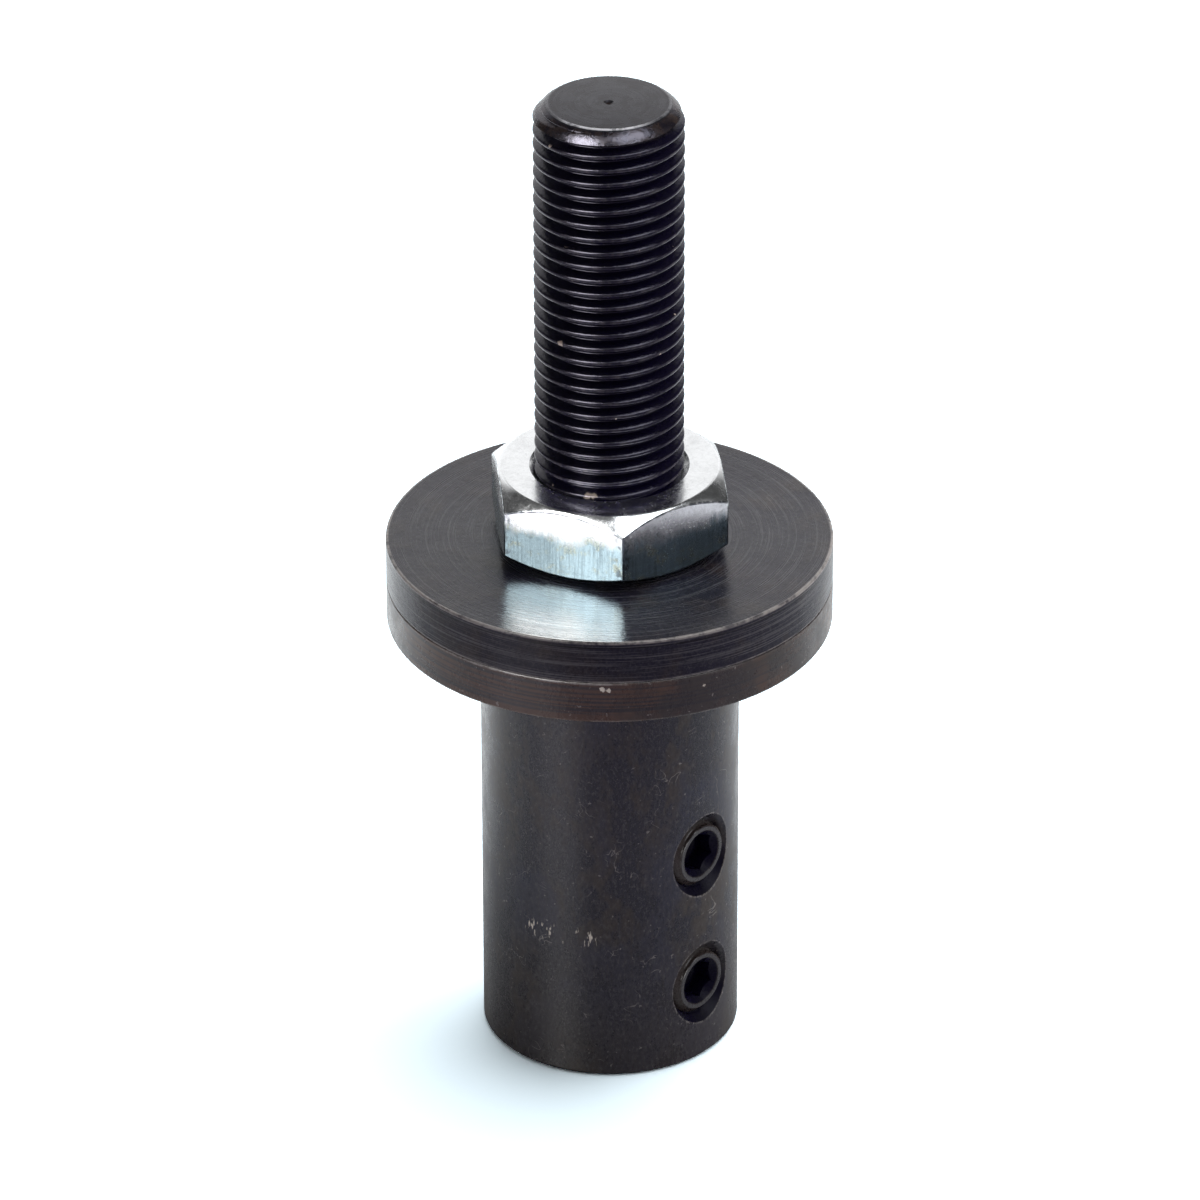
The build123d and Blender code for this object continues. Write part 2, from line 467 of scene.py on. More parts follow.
class Finish(Nodes):
    """A material with one Principled shader, and the patterns that the finishes share."""

    def __init__(self, name, **sockets):
        self.material = bpy.data.materials.new(name)
        super().__init__(self.material)
        self.shader = self.add("BsdfPrincipled")
        self.surface = self.add("OutputMaterial").inputs["Surface"]
        self.links.new(self.shader.outputs[0], self.surface)
        for socket, value in sockets.items():
            self.set(socket.replace("_", " "), value)
        metres = self.add("TexCoord").outputs["Object"]
        self.place = self.add("Mapping", Vector=metres, Scale=(1000, 1000, 1000)).outputs[0]
        apart = self.add("SeparateXYZ", Vector=self.place).outputs
        flat = self.add("CombineXYZ", X=apart["X"], Y=apart["Y"]).outputs[0]
        self.ahead, self.height = apart["X"], apart["Z"]
        self.radius = self.vector("LENGTH", flat, output="Value")
        self.outward = self.vector("NORMALIZE", flat)
        around = self.add("SeparateXYZ", Vector=self.outward).outputs
        self.cosine, self.sine = around["X"], around["Y"]

    def set(self, socket, value):
        if isinstance(value, tuple) and len(value) == 3:
            value = (*value, 1)
        self.feed(self.shader.inputs[socket], value)

    def noise(self, vector, scale, detail=2.0, roughness=0.5, distortion=0.0):
        return self.add(
            "TexNoise",
            Vector=vector, Scale=scale, Detail=detail, Roughness=roughness, Distortion=distortion,
        ).outputs["Fac"]

    def lathe_marks(self, across, fine, along, detail=3.0):
        """Lines round the axis, spaced along a radius or a height, that fade in and out on their way."""
        vector = self.add(
            "CombineXYZ", X=self.both(across, fine), Y=self.both(self.cosine, along),
            Z=self.both(self.sine, along),
        ).outputs[0]
        return self.noise(vector, 1.0, detail, 0.6)

    def streaks(self, fine, along, detail=3.0):
        """Lines that run along the axis, spaced round it."""
        vector = self.add(
            "CombineXYZ", X=self.both(self.cosine, fine), Y=self.both(self.sine, fine),
            Z=self.both(self.height, along),
        ).outputs[0]
        return self.noise(vector, 1.0, detail, 0.6)

    def bump(self, height, distance, normal=None):
        return self.add("Bump", Distance=distance, Height=height, Normal=normal).outputs[0]

    def both(self, first, second):
        return self.math("MULTIPLY", first, second)

    def either(self, first, second):
        return self.math("MAXIMUM", first, second)

    def off(self, value, centre):
        """How far a value lies from a centre, on either side."""
        return self.math("ABSOLUTE", self.math("SUBTRACT", value, centre))

    def facing(self, direction):
        """How squarely the place on the surface lies in a direction from the axis, from -1 to 1."""
        return self.vector("DOT_PRODUCT", self.outward, direction, "Value")

    def upright(self):
        """How far the surface faces up, from -1 to 1."""
        normal = self.add("NewGeometry").outputs["Normal"]
        return self.add("SeparateXYZ", Vector=normal).outputs["Z"]

    def rim(self, radius, height, width):
        """A ring of this width along a turned edge, from its radius and height in mm."""
        across, along = self.off(self.radius, radius), self.off(self.height, height)
        apart = self.add("CombineXYZ", X=across, Y=along).outputs[0]
        return self.ramp(self.vector("LENGTH", apart, output="Value"), width / 2, width, 1, 0)

    def from_axis(self, height):
        """Distance in mm from the axis of a set screw's hole at this height."""
        apart = self.vector("SUBTRACT", self.place, (0, 0, height))
        return self.vector("LENGTH", self.vector("MULTIPLY", apart, (0, 1, 1)), output="Value")

    def hairs(self, scale, width, many):
        """Short thin scratches that run in curves."""
        curves = self.noise(self.place, scale, 1.5, 0.5, 1.2)
        line = self.ramp(self.off(curves, 0.5), width / 2, width, 1, 0)
        return self.both(line, self.ramp(self.noise(self.place, scale * 0.8, 1, 0.5), many, many + 0.04))

    def bare_marks(self, spots):
        """Small bare marks with frayed outlines. Each spot is x, y, z and radius in mm."""
        frayed = self.math("MULTIPLY_ADD", self.noise(self.place, 3, 3, 0.7), 0.5, -0.25)
        bare = 0.0
        for x, y, z, radius in spots:
            apart = self.math("ADD", self.vector("DISTANCE", self.place, (x, y, z), "Value"), frayed)
            bare = self.either(self.ramp(apart, radius * 0.6, radius, 1, 0), bare)
        return bare

    def across_the_marks(self):
        """The direction across lathe marks, for the stretch of the gloss."""
        around = self.add("CombineXYZ", X=self.both(self.sine, -1.0), Y=self.cosine).outputs[0]
        normal = self.add("NewGeometry").outputs["Normal"]
        return self.vector("CROSS_PRODUCT", normal, around)


def body_oxide(colours, sizes):
    """Mottled purple-black oxide of the turned body, with its scratches, worn edges, painted highlights and
    painted shade in its holes.
    """
    skin = Finish("Mottled black oxide", IOR=1.45)
    ramp, mix, both, either = skin.ramp, skin.mix, skin.both, skin.either
    noise, bump, place = skin.noise, skin.bump, skin.place
    black, brown, blue = colours.black_oxide, colours.brown_oxide, colours.blue_oxide
    steel, bright_steel = colours.bare_steel, (0.85, 0.76, 0.66)
    # The orange rusty colour also serves as a painted highlight on one side of the flange
    dull_brown, rust_and_highlight, ingrained = (0.04, 0.028, 0.025), (0.11, 0.053, 0.03), (0.017, 0.0135, 0.019)
    foot_brown, light_grain, dark_grain = (0.052, 0.038, 0.034), (0.085, 0.08, 0.084), (0.006, 0.005, 0.01)
    sleeve, sleeve_top, top = sizes.sleeve_radius / MM, sizes.sleeve_height / MM, sizes.clamping_face / MM
    mouth, flange_radius = sizes.hole_mouth_radius / MM, FLANGE_HIGH.x / MM
    upwards = skin.vector("MULTIPLY", place, (1, 1, 0.6))
    clouds = noise(upwards, 0.32, 5, 0.65)
    grain = noise(upwards, 3.4, 4, 0.8)
    zones = noise(upwards, 0.16, 3, 0.6)
    on_flange = ramp(skin.radius, 12, 13)
    flat = ramp(skin.off(skin.upright(), 0), 0.6, 0.9)
    round_lines = skin.lathe_marks(skin.height, 4.0, 0.5)
    lines = skin.blend(flat, round_lines, skin.lathe_marks(skin.radius, 3.0, 0.5, 4))

    # Brown and rusty flange; its rusty patch on one side is also a painted highlight
    rust_and_highlight_mask = ramp(skin.facing(RUST_AND_HIGHLIGHT_SIDE), 0.6, 0.98, -0.05, 0.13)
    rust_and_highlight_mask = skin.math("ADD", rust_and_highlight_mask, noise(place, 0.15, 4, 0.65))
    browned_and_highlit = mix(ramp(rust_and_highlight_mask, 0.42, 0.64), dull_brown, rust_and_highlight)
    browned_and_highlit = mix(ramp(lines, 0.45, 0.62, 0, 0.9), browned_and_highlit, ingrained)

    # Mottled sleeve, browner at its foot
    tone = mix(ramp(clouds, 0.45, 0.6), black, brown)
    tone = mix(ramp(zones, 0.48, 0.6, 0, 0.8), tone, blue)
    tone = mix(ramp(skin.streaks(70, 0.25), 0.5, 0.75, 0, 0.4), tone, brown)
    tone = mix(ramp(skin.height, 3, 16, 0.45, 0), tone, foot_brown)
    tone = mix(ramp(grain, 0.5, 0.7, 0, 0.75), tone, light_grain)
    tone = mix(ramp(grain, 0.32, 0.48, 0.75, 0), tone, dark_grain)
    # The brown flange, carrying the painted highlight of its rusty patch
    tone = mix(both(on_flange, 0.8), tone, browned_and_highlit)

    # Specks, hair scratches and worn edges; the clamping face's edge is painted pale on one side, partly wear
    # and partly a painted highlight
    pale = both(ramp(noise(place, 1.9, 2, 0.6), 0.67, 0.76), 0.4)
    hairs = both(skin.hairs(0.45, 0.01, 0.61), 0.35)
    pale = either(pale, both(hairs, ramp(skin.radius, 12, 13, 1, 0)))
    # Painted highlight: the clamping face's edge is palest on one side
    worn_and_highlit = ramp(skin.facing(WORN_AND_HIGHLIT_FLANGE_SIDE), 0.86, 0.97, 0.25, 1)
    lower_edge = both(skin.rim(flange_radius, sleeve_top, 0.3), 0.3)
    upper_edge = both(skin.rim(flange_radius, top, 0.25), worn_and_highlit)
    nicks = ramp(noise(place, 0.4, 4, 0.75), 0.4, 0.6, 0.15, 0.8)
    pale = either(pale, both(either(lower_edge, upper_edge), nicks))

    # Pale rings round the set screws' holes, and painted shade in their lower halves
    recess_shade = 0.0
    outside = ramp(skin.radius, sleeve - 0.08, sleeve - 0.03)
    for low, high in SCREW_BOXES.values():
        centre = (low.z + high.z) / 2 / MM
        apart = skin.from_axis(centre)
        beside = skin.math("SUBTRACT", skin.math("ADD", apart, sleeve - mouth), skin.ahead)
        ring = both(ramp(skin.off(beside, 0), 0.05, 0.16, 0.3, 0), outside)
        pale = either(pale, both(ring, ramp(grain, 0.4, 0.6)))
        sunk = both(ramp(apart, mouth, mouth + 0.1, 1, 0), skin.math("SUBTRACT", 1, outside))
        below = ramp(skin.math("SUBTRACT", skin.height, centre), -2.2, 0.5, 1, 0)
        recess_shade = either(both(sunk, below), recess_shade)

    # Row of scuffs on the sleeve, and bare marks on the flange
    scuffed = both(
        ramp(skin.facing(SCUFFED_SIDE), 0.945, 0.965),
        ramp(skin.off(skin.height, 13.8), 0.3, 1.1, 1, 0),
    )
    scuffed = both(scuffed, ramp(skin.streaks(38, 0.9, 2), 0.6, 0.66))
    tone = mix(pale, tone, steel)
    tone = mix(either(scuffed, skin.bare_marks(FLANGE_MARKS)), tone, bright_steel)
    # Painted shade in the holes: the oiled thread's colour with less gloss
    skin.set("Base Color", mix(recess_shade, tone, colours.oiled_thread_and_shade))
    skin.set("Specular IOR Level", skin.blend(recess_shade, 0.5, 0.15))
    gloss = skin.math("ADD", ramp(clouds, 0.4, 0.62, 0.24, 0.34), ramp(grain, 0.3, 0.7, -0.03, 0.06))
    skin.set("Roughness", gloss)
    skin.set("Normal", bump(grain, 8e-6, bump(clouds, 1e-5, bump(lines, 3e-6))))
    return skin.material


def thread_oxide(colours, sizes):
    """Oily black oxide of the stud's thread, with its crests worn and bare steel at its nicks."""
    skin = Finish("Oiled black oxide thread", IOR=1.45)
    ramp, mix, both, either = skin.ramp, skin.mix, skin.both, skin.either
    noise, bump, place = skin.noise, skin.bump, skin.place
    oiled, steel = colours.oiled_thread_and_shade, colours.bare_steel
    # The near-white edge colour is a painted highlight on the end's front edge, partly wear
    bright_steel, edge_steel_highlight = (0.75, 0.62, 0.52), (0.8, 0.8, 0.84)
    dark_face, brown_face, ring_grey = (0.009, 0.009, 0.012), (0.017, 0.014, 0.013), (0.034, 0.035, 0.04)
    dark_cone, brown_cone = (0.008, 0.006, 0.012), (0.036, 0.024, 0.02)
    crest_radius, end = sizes.crest_radius / MM, BODY_HIGH.z / MM
    grain = noise(place, 3.0, 4, 0.65)
    patches = noise(place, 0.9, 3, 0.6)
    rings = skin.lathe_marks(skin.radius, 4.0, 0.8, 4)
    chamfer = ramp(skin.height, end - 1.5, end - 1.2)
    cone = both(chamfer, ramp(skin.height, end - 0.2, end - 0.1, 1, 0))

    # Thread, paler on its worn crests
    crest = ramp(skin.radius, crest_radius - 0.08, crest_radius - 0.01)
    tone = mix(both(crest, ramp(patches, 0.4, 0.7, 0.02, 0.13)), oiled, steel)
    nicks = both(
        ramp(skin.radius, crest_radius - 0.3, crest_radius),
        ramp(noise(place, 0.9, 1, 0.5), 0.76, 0.79),
    )
    tone = mix(either(nicks, skin.bare_marks(THREAD_MARKS)), tone, bright_steel)

    # Turned end, its chamfer and its worn edge, painted near white at the front as a highlight
    face = mix(ramp(patches, 0.4, 0.7), dark_face, brown_face)
    face = mix(ramp(rings, 0.42, 0.66, 0, 0.7), face, ring_grey)
    tone = mix(chamfer, tone, face)
    tone = mix(cone, tone, mix(ramp(patches, 0.35, 0.6), dark_cone, brown_cone))
    edge = skin.rim((sizes.crest_radius - sizes.end_chamfer) / MM, end, 0.17)
    worn_and_highlit = ramp(skin.facing(WORN_AND_HIGHLIT_END_SIDE), 0.6, 0.95, 0.12, 1)
    nicked = ramp(noise(place, 1.6, 3, 0.6), 0.35, 0.55, 0.3, 1)
    skin.set("Base Color", mix(both(edge, both(worn_and_highlit, nicked)), tone, edge_steel_highlight))
    skin.set("Specular IOR Level", skin.blend(cone, skin.blend(chamfer, 0.42, 0.55), 0.8))
    skin.set("Specular Tint", (0.86, 0.83, 1.0))
    gloss = skin.blend(cone, ramp(patches, 0.35, 0.65, 0.22, 0.32), ramp(grain, 0.3, 0.7, 0.1, 0.2))
    skin.set("Roughness", skin.blend(chamfer, ramp(grain, 0.3, 0.7, 0.11, 0.19), gloss))
    lumps = bump(grain, skin.blend(cone, skin.blend(chamfer, 3e-5, 3e-6), 3.5e-5))
    skin.set("Normal", bump(rings, skin.blend(chamfer, 0.0, 4e-6), lumps))
    return skin.material


def flange_oxide(colours, sizes):
    """Finely turned black oxide of the outer flange, with a worn and nicked rim."""
    skin = Finish("Turned black oxide", IOR=1.42, Anisotropic=0.6)
    ramp, mix, both, either = skin.ramp, skin.mix, skin.both, skin.either
    noise, bump, place = skin.noise, skin.bump, skin.place
    black, brown, steel = colours.black_oxide, colours.brown_oxide, colours.bare_steel
    side_mark, face_mark = (0.125, 0.12, 0.13), (0.088, 0.088, 0.1)
    light_grain, dark_grain, groove_black = (0.08, 0.077, 0.08), (0.004, 0.004, 0.006), (0.004, 0.003, 0.006)
    radius, bottom, top = sizes.radius / MM, FLANGE_LOW.z / MM, FLANGE_HIGH.z / MM
    clouds = noise(place, 0.25, 4, 0.65)
    grain = noise(place, 3.6, 4, 0.8)
    face = ramp(skin.upright(), 0.6, 0.9)
    rings = skin.lathe_marks(skin.radius, 5.0, 1.2, 4)
    lines = skin.lathe_marks(skin.height, 7.0, 1.5, 4)
    marks = skin.blend(face, lines, rings)
    tone = mix(ramp(clouds, 0.45, 0.75, 0, 0.8), black, brown)
    tone = mix(ramp(marks, 0.48, 0.68, 0, 0.75), tone, mix(face, side_mark, face_mark))
    tone = mix(ramp(grain, 0.5, 0.72, 0, 0.7), tone, light_grain)
    tone = mix(ramp(grain, 0.32, 0.48, 0.6, 0), tone, dark_grain)
    line = ramp(skin.off(skin.height, top - 0.55), 0.03, 0.09, 1, 0)
    groove = both(line, ramp(clouds, 0.35, 0.5, 0.3, 1))
    tone = mix(both(groove, 0.8), tone, groove_black)
    scratches = ramp(skin.lathe_marks(skin.radius, 3.2, 1.6, 2), 0.73, 0.8)
    edges = either(skin.rim(radius, top, 0.3), both(skin.rim(radius, bottom, 0.25), 0.6))
    nicked = both(edges, ramp(noise(place, 0.5, 5, 0.75), 0.36, 0.56, 0.2, 1))
    pale = either(both(scratches, both(face, 0.35)), both(nicked, 0.75))
    skin.set("Base Color", mix(pale, tone, steel))
    skin.set("Roughness", ramp(marks, 0.35, 0.65, 0.2, 0.3))
    skin.set("Specular IOR Level", skin.blend(face, 0.21, 0.68))
    skin.set("Tangent", skin.across_the_marks())
    skin.set("Normal", bump(marks, skin.blend(face, 9e-6, 1.5e-5), bump(clouds, 6e-5)))
    return skin.material


def zinc_plate(colours):
    """Bright zinc with fine lines drawn up and down its flats."""
    skin = Finish("Bright zinc plate", Metallic=1.0)
    ramp, mix, both, either = skin.ramp, skin.mix, skin.both, skin.either
    noise, bump, place = skin.noise, skin.bump, skin.place
    flat, top = colours.zinc, NUT_HIGH.z / MM
    dark_grain, dark_line = tuple(0.68 * c for c in flat), tuple(0.6 * c for c in flat)
    painted_top_highlight, dark_edge_tone = (0.96, 0.99, 1.0), (0.09, 0.11, 0.13)
    lines = skin.streaks(70, 0.3, 3)
    blotch = noise(place, 0.55, 5, 0.7)
    grain = noise(place, 3.2, 4, 0.75)
    side = ramp(skin.upright(), 0.3, 0.7, 1, 0)

    # Flats with painted shade away from the front corner and a painted highlight along their tops
    tone = mix(ramp(blotch, 0.5, 0.6, 0, 0.9), flat, colours.aged_zinc)
    tone = mix(ramp(grain, 0.5, 0.62, 0, 0.6), tone, dark_grain)
    tone = mix(ramp(lines, 0.46, 0.64, 0, 0.85), tone, dark_line)
    # Painted shade: the flats darken away from the front corner
    tone = mix(ramp(skin.facing(NUT_FRONT_CORNER), 0.7, 0.97), mix(0.37, tone, (0, 0, 0)), tone)
    # Painted highlight along the tops of the flats
    uneven = ramp(noise(place, 0.3, 2, 0.5), 0.3, 0.7, -0.5, 0.5)
    uneven = skin.math("ADD", uneven, ramp(lines, 0.3, 0.7, -0.25, 0.25))
    top_highlight_share = ramp(skin.math("ADD", skin.height, uneven), top - 3.0, top - 1.5)
    tone = mix(top_highlight_share, tone, painted_top_highlight)
    # Turned faces painted near white, partly the plating and partly a painted highlight
    tone = mix(side, colours.highlit_turned_zinc, tone)

    # Darker patches on the rounded edges and the corners
    rounded = skin.add("Attribute", {"attribute_name": "worn"}).outputs["Fac"]
    edge = both(rounded, ramp(skin.radius, 9.4, 9.6))
    edge = both(edge, ramp(noise(place, 1.4, 3, 0.7), 0.38, 0.55, 0.25, 1))
    dark_corner = ramp(noise(place, 1.7, 4, 0.7), 0.5, 0.6)
    dark_corner = both(ramp(skin.radius, 10.5, 10.85), dark_corner)
    edge = either(edge, both(dark_corner, 0.9))
    skin.set("Base Color", mix(both(edge, 0.85), tone, dark_edge_tone))
    gloss = skin.math("ADD", ramp(grain, 0.35, 0.7, 0.15, 0.24), ramp(blotch, 0.4, 0.7, 0, 0.08))
    skin.set("Roughness", gloss)
    waves = bump(noise(place, 0.4, 2, 0.5), 1.2e-5)
    skin.set("Normal", bump(grain, 1e-6, bump(lines, both(side, 4e-6), waves)))
    return skin.material


def screw_oxide(name, colours, sizes, centre, face):
    """Black oxide of a set screw, with painted shade in its socket and a worn ring round it."""
    skin = Finish(name, IOR=1.45)
    light_brown, worn_grey = (0.055, 0.042, 0.04), (0.05, 0.046, 0.052)
    mouth = sizes.socket_mouth_radius / MM
    grain = skin.noise(skin.place, 4.0, 3, 0.6)
    tone = skin.mix(skin.ramp(grain, 0.4, 0.75), colours.brown_oxide, light_brown)
    tone = skin.mix(skin.ramp(skin.off(skin.ahead, face / MM), 0.01, 0.05, 1, 0), tone, worn_grey)
    # Painted shade in the socket, in the oiled thread's colour and with less gloss
    recess_shade = skin.ramp(skin.from_axis(centre / MM), mouth - 0.12, mouth, 1, 0)
    skin.set("Base Color", skin.mix(recess_shade, tone, colours.oiled_thread_and_shade))
    skin.set("Specular IOR Level", skin.blend(recess_shade, 0.5, 0.12))
    skin.set("Roughness", skin.ramp(grain, 0.3, 0.7, 0.24, 0.36))
    skin.set("Normal", skin.bump(grain, 4e-6))
    return skin.material


# Pieces

class ARBOR_OT_turn_body(bpy.types.Operator):
    """Turn the sleeve with its fixed flange, bore it and tap the holes for the set screws"""

    bl_idname = "arbor.turn_body"
    bl_label = "Turn body"

    def execute(self, context):
        settings = context.scene.arbor
        sizes = settings.body
        rim = settings.flange.radius
        cone = sizes.bore_radius / tan(DRILL_HALF_ANGLE)
        floor = sizes.clamping_face - sizes.relief_depth
        body = as_object(
            turned([
                (sizes.bore_radius + BORE_MOUTH_CHAMFER, 0, FINE),
                (sizes.sleeve_radius - FOOT_CHAMFER, 0, PLAIN),
                (sizes.sleeve_radius, FOOT_CHAMFER, PLAIN),
                (sizes.sleeve_radius, sizes.sleeve_height, SLEEVE_CORNER),
                (rim, sizes.sleeve_height, UNDERSIDE_EDGE),
                (rim, sizes.clamping_face, CLAMPING_EDGE),
                (sizes.relief_radius, sizes.clamping_face, TIGHT),
                (sizes.relief_radius, floor, PLAIN),
                (settings.stud.groove_radius, floor),
                (0, floor),
                (0, sizes.bore_depth + cone),
                (sizes.bore_radius, sizes.bore_depth),
                (sizes.bore_radius, BORE_MOUTH_CHAMFER, TIGHT),
            ]),
            "turned_body",
        )
        tools = []
        for low, high in SCREW_BOXES.values():
            place = Matrix.Translation((0, 0, (low.z + high.z) / 2)) @ ALONG_X
            tap = threaded(
                sizes.hole_radius, sizes.hole_crest_radius, settings.set_screw.pitch, TAP_START,
                sizes.sleeve_radius + 2 * PAST,
            )
            mouth = countersink(sizes.hole_mouth_radius, sizes.sleeve_radius, past=2 * PAST)
            tools.append(as_object(tap, "tap", place))
            tools.append(as_object(mouth, "countersink", place))
        machine(body, "DIFFERENCE", tools)
        finish_piece(body, body_oxide(settings.finish, sizes), "arbor", "arbor_body")
        return {"FINISHED"}


class ARBOR_OT_thread_stud(bpy.types.Operator):
    """Cut the stud's thread from the run-out groove to the chamfered end"""

    bl_idname = "arbor.thread_stud"
    bl_label = "Thread stud"

    def execute(self, context):
        settings = context.scene.arbor
        sizes = settings.stud
        bottom = settings.body.clamping_face - STUD_IN_BODY
        groove_top = settings.body.clamping_face + sizes.groove_width
        end = BODY_HIGH.z
        rod = threaded(
            sizes.crest_radius, sizes.root_radius, sizes.pitch, bottom - PAST, end + PAST, sizes.turn
        )
        stud = as_object(rod, "threaded_stud")
        outside = sizes.crest_radius + OVER_THE_CREST
        bend = BEND_SHARE * sizes.end_chamfer
        envelope = turned([
            (0, bottom), (sizes.groove_radius, bottom),
            (sizes.groove_radius, groove_top - (outside - sizes.groove_radius), PLAIN), (outside, groove_top),
            (outside, end - sizes.end_chamfer), (outside - bend, end - bend, BEND_ROUNDING),
            (sizes.crest_radius - sizes.end_chamfer, end, sizes.edge_radius), (0, end),
        ])
        machine(stud, "INTERSECT", [as_object(envelope, "envelope")])
        drill = turned([
            (0, end + sizes.dimple_depth), (2 * sizes.dimple_radius, end + sizes.dimple_depth),
            (0, end - sizes.dimple_depth),
        ], DRILL_STEPS)
        machine(stud, "DIFFERENCE", [as_object(drill, "drill")])
        finish_piece(stud, thread_oxide(settings.finish, sizes), "arbor", "arbor_body")
        return {"FINISHED"}


class ARBOR_OT_outer_flange(bpy.types.Operator):
    """Turn the loose outer flange"""

    bl_idname = "arbor.outer_flange"
    bl_label = "Outer flange"

    def execute(self, context):
        settings = context.scene.arbor
        sizes = settings.flange
        body = settings.body
        bottom, top = FLANGE_LOW.z, FLANGE_HIGH.z
        flange = as_object(
            turned([
                (sizes.bore_radius, bottom + body.relief_depth, FINE),
                (body.relief_radius, bottom + body.relief_depth, PLAIN),
                (body.relief_radius, bottom, TIGHT),
                (sizes.radius, bottom, CLAMPING_EDGE),
                (sizes.radius, top, sizes.edge_radius),
                (sizes.bore_radius + sizes.bore_chamfer, top, FINE),
                (sizes.bore_radius, top - sizes.bore_chamfer, FINE),
            ], FLANGE_STEPS),
            "loose_flange",
        )
        finish = flange_oxide(settings.finish, sizes)
        finish_piece(flange, finish, "clamp", "outer_flange")
        return {"FINISHED"}


class ARBOR_OT_hex_nut(bpy.types.Operator):
    """Chamfer a hexagonal bar and tap it for the stud"""

    bl_idname = "arbor.hex_nut"
    bl_label = "Hexagon nut"

    def execute(self, context):
        settings = context.scene.arbor
        sizes = settings.nut
        stud = settings.stud
        bottom, top = NUT_LOW.z, NUT_HIGH.z
        nut = as_object(hexagonal(sizes.across_flats, bottom, top, sizes.turn), "zinc_nut")
        shell = turned([
            (0, bottom), (sizes.bearing_radius, bottom),
            (BEYOND_NUT, bottom + (BEYOND_NUT - sizes.bearing_radius) * tan(sizes.bearing_chamfer)),
            (BEYOND_NUT, top - (BEYOND_NUT - sizes.top_flat_radius) * tan(sizes.top_chamfer)),
            (sizes.top_flat_radius, top), (0, top),
        ])
        machine(nut, "INTERSECT", [as_object(shell, "chamfers")])
        break_edges(nut, sizes.edge_radius, lambda middle: True)
        crest, root = stud.crest_radius + sizes.clearance, stud.root_radius + sizes.clearance
        tap = threaded(crest, root, stud.pitch, bottom - PAST, top + PAST, stud.turn)
        mouth = crest + sizes.bore_chamfer
        tools = (tap, countersink(mouth, top), countersink(mouth, bottom, -1))
        machine(nut, "DIFFERENCE", [as_object(tool, "tool") for tool in tools])
        finish_piece(nut, zinc_plate(settings.finish), "nut", "hex_nut")
        return {"FINISHED"}


class ARBOR_OT_set_screws(bpy.types.Operator):
    """Make the two headless set screws"""

    bl_idname = "arbor.set_screws"
    bl_label = "Set screws"

    def execute(self, context):
        settings = context.scene.arbor
        sizes = settings.set_screw
        for name, (low, high) in SCREW_BOXES.items():
            tip, face = low.x, high.x
            radius = (high.z - low.z) / 2
            heights = (tip, tip + sizes.point_chamfer, face - sizes.head_chamfer, face)
            radii = (radius - sizes.point_chamfer, radius, radius, radius - sizes.head_chamfer)
            place = Matrix.Translation((0, 0, (low.z + high.z) / 2)) @ ALONG_X
            rod = threaded(
                sizes.radius, sizes.root_radius, sizes.pitch, tip, face,
                limit=lambda height: numpy.interp(height, heights, radii),
            )
            screw = as_object(rod, f"{name}_set_screw_threaded")
            break_edges(screw, TIGHT, lambda middle: middle.z > face - 1e-6)
            half_flats, floor = sizes.socket_across_flats / 2, face - sizes.socket_depth
            socket = hexagonal(sizes.socket_across_flats, floor, face + PAST, sizes.socket_turn)
            mouth = countersink(sizes.socket_mouth_radius, face)
            drill = turned([
                (0, floor + OVERLAP), (half_flats * 0.9, floor + OVERLAP), (0, floor - half_flats * 0.5),
            ], DRILL_STEPS)
            cup_start = sizes.cup_radius * (1 + PAST / sizes.cup_depth)
            cup = turned([(0, tip - PAST), (cup_start, tip - PAST), (0, tip + sizes.cup_depth)], TOOL_STEPS)
            machine(screw, "DIFFERENCE", [as_object(tool, "tool") for tool in (socket, mouth, drill, cup)])
            screw.data.transform(place)
            finish = screw_oxide(
                f"Black oxide of the {name} set screw", settings.finish, sizes, place.translation.z, face
            )
            finish_piece(screw, finish, f"{name}_screw", f"{name}_set_screw")
        return {"FINISHED"}


